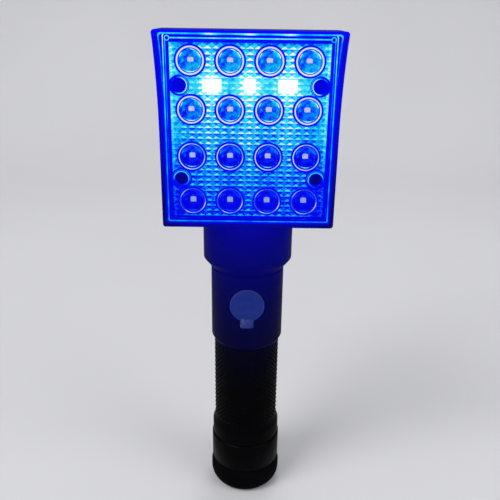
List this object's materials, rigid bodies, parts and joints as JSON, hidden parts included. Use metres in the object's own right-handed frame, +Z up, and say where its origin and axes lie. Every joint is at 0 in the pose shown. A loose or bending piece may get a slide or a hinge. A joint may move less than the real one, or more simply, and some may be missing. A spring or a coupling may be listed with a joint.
{
  "type": "magnetic work light",
  "caption": "Torch-shaped magnetic work light with a square lamp head, prismatic lens cover, knurled grip, push button and screw-on magnet tail.",
  "frame": {"origin": "centre of the magnet's flat end face, on the handle's axis", "axes": "+Z up the handle towards the lamp head, front of the lamp head towards -Y, +X to the right as seen from the front"},
  "size_m": [0.073, 0.0396, 0.2183],
  "materials": {
    "black_plastic": "black moulded, fine satin",
    "black_rubber": "black, dull",
    "black_aluminium": "black anodised",
    "clear_cover": "clear moulded acrylic with prisms and round lenses",
    "dark_screw": "black oxide",
    "white_board": "white solder mask",
    "green_board": "green solder mask",
    "white_lamp": "pale lamp chip, not lit",
    "blue_lamp": "lit blue lamp chip",
    "grey_plastic": "dark grey moulded",
    "pale_silicone": "translucent pale silicone",
    "pale_window": "frosted clear light guide",
    "plated_steel": "zinc plated",
    "brass": "plain",
    "cell_sleeve": "painted sleeve on a metal can",
    "magnet_nickel": "nickel plated"
  },
  "bodies": {
    "light": {"head_housing": "black_plastic", "lens_plate": "clear_cover", "lens_gasket": "black_rubber", "led_board": "white_board", "driver_board": "green_board", "driver_coil": "grey_plastic", "driver_chip": "black_plastic", "neck_sleeve": "black_plastic", "neck_seal": "black_rubber", "switch_body": "black_plastic", "indicator_window": "pale_window", "switch_board": "green_board", "tact_switch": "plated_steel", "pilot_lamp": "white_lamp", "board_holder": "grey_plastic", "contact_disc": "green_board", "grip_tube": "black_aluminium", "battery_cartridge": "grey_plastic", "tail_contact": "brass", "head_contact": "brass", "head_spring": "brass", "lens_screw_1": "dark_screw", "lens_screw_2": "dark_screw", "lens_screw_3": "dark_screw", "lens_screw_4": "dark_screw", "white_led_1": "white_lamp", "white_led_2": "white_lamp", "white_led_3": "white_lamp", "white_led_4": "white_lamp", "white_led_5": "white_lamp", "white_led_6": "white_lamp", "white_led_7": "white_lamp", "white_led_8": "white_lamp", "white_led_9": "white_lamp", "white_led_10": "white_lamp", "white_led_11": "white_lamp", "white_led_12": "white_lamp", "white_led_13": "white_lamp", "white_led_14": "white_lamp", "white_led_15": "white_lamp", "white_led_16": "white_lamp", "blue_led_1": "blue_lamp", "blue_led_2": "blue_lamp", "blue_led_3": "blue_lamp", "battery_cell_1": "cell_sleeve", "battery_cell_2": "cell_sleeve", "battery_cell_3": "cell_sleeve"},
    "button": {"button_cap": "pale_silicone", "tact_plunger": "black_plastic"},
    "tail_thread": {"tail_seal": "black_rubber"},
    "tail": {"tail_cap": "black_aluminium", "tail_bumper": "black_rubber", "magnet_pot": "plated_steel", "magnet": "magnet_nickel", "tail_spring": "plated_steel"}
  },
  "joints": [
    {"name": "button_press", "type": "slide", "parent": "light", "child": "button", "axis": [0, 1, 0], "range_m": [0, 0.0008], "stiffness_N_per_m": 1500},
    {"name": "tail_travel", "type": "slide", "parent": "light", "child": "tail_thread", "axis": [0, 0, -1], "range_m": [0, 0.0056]},
    {"name": "tail_turn", "type": "hinge", "parent": "tail_thread", "child": "tail", "pos_m": [0, 0, 0.03], "axis": [0, 0, -1], "range_deg": [0, 1008]}
  ]
}
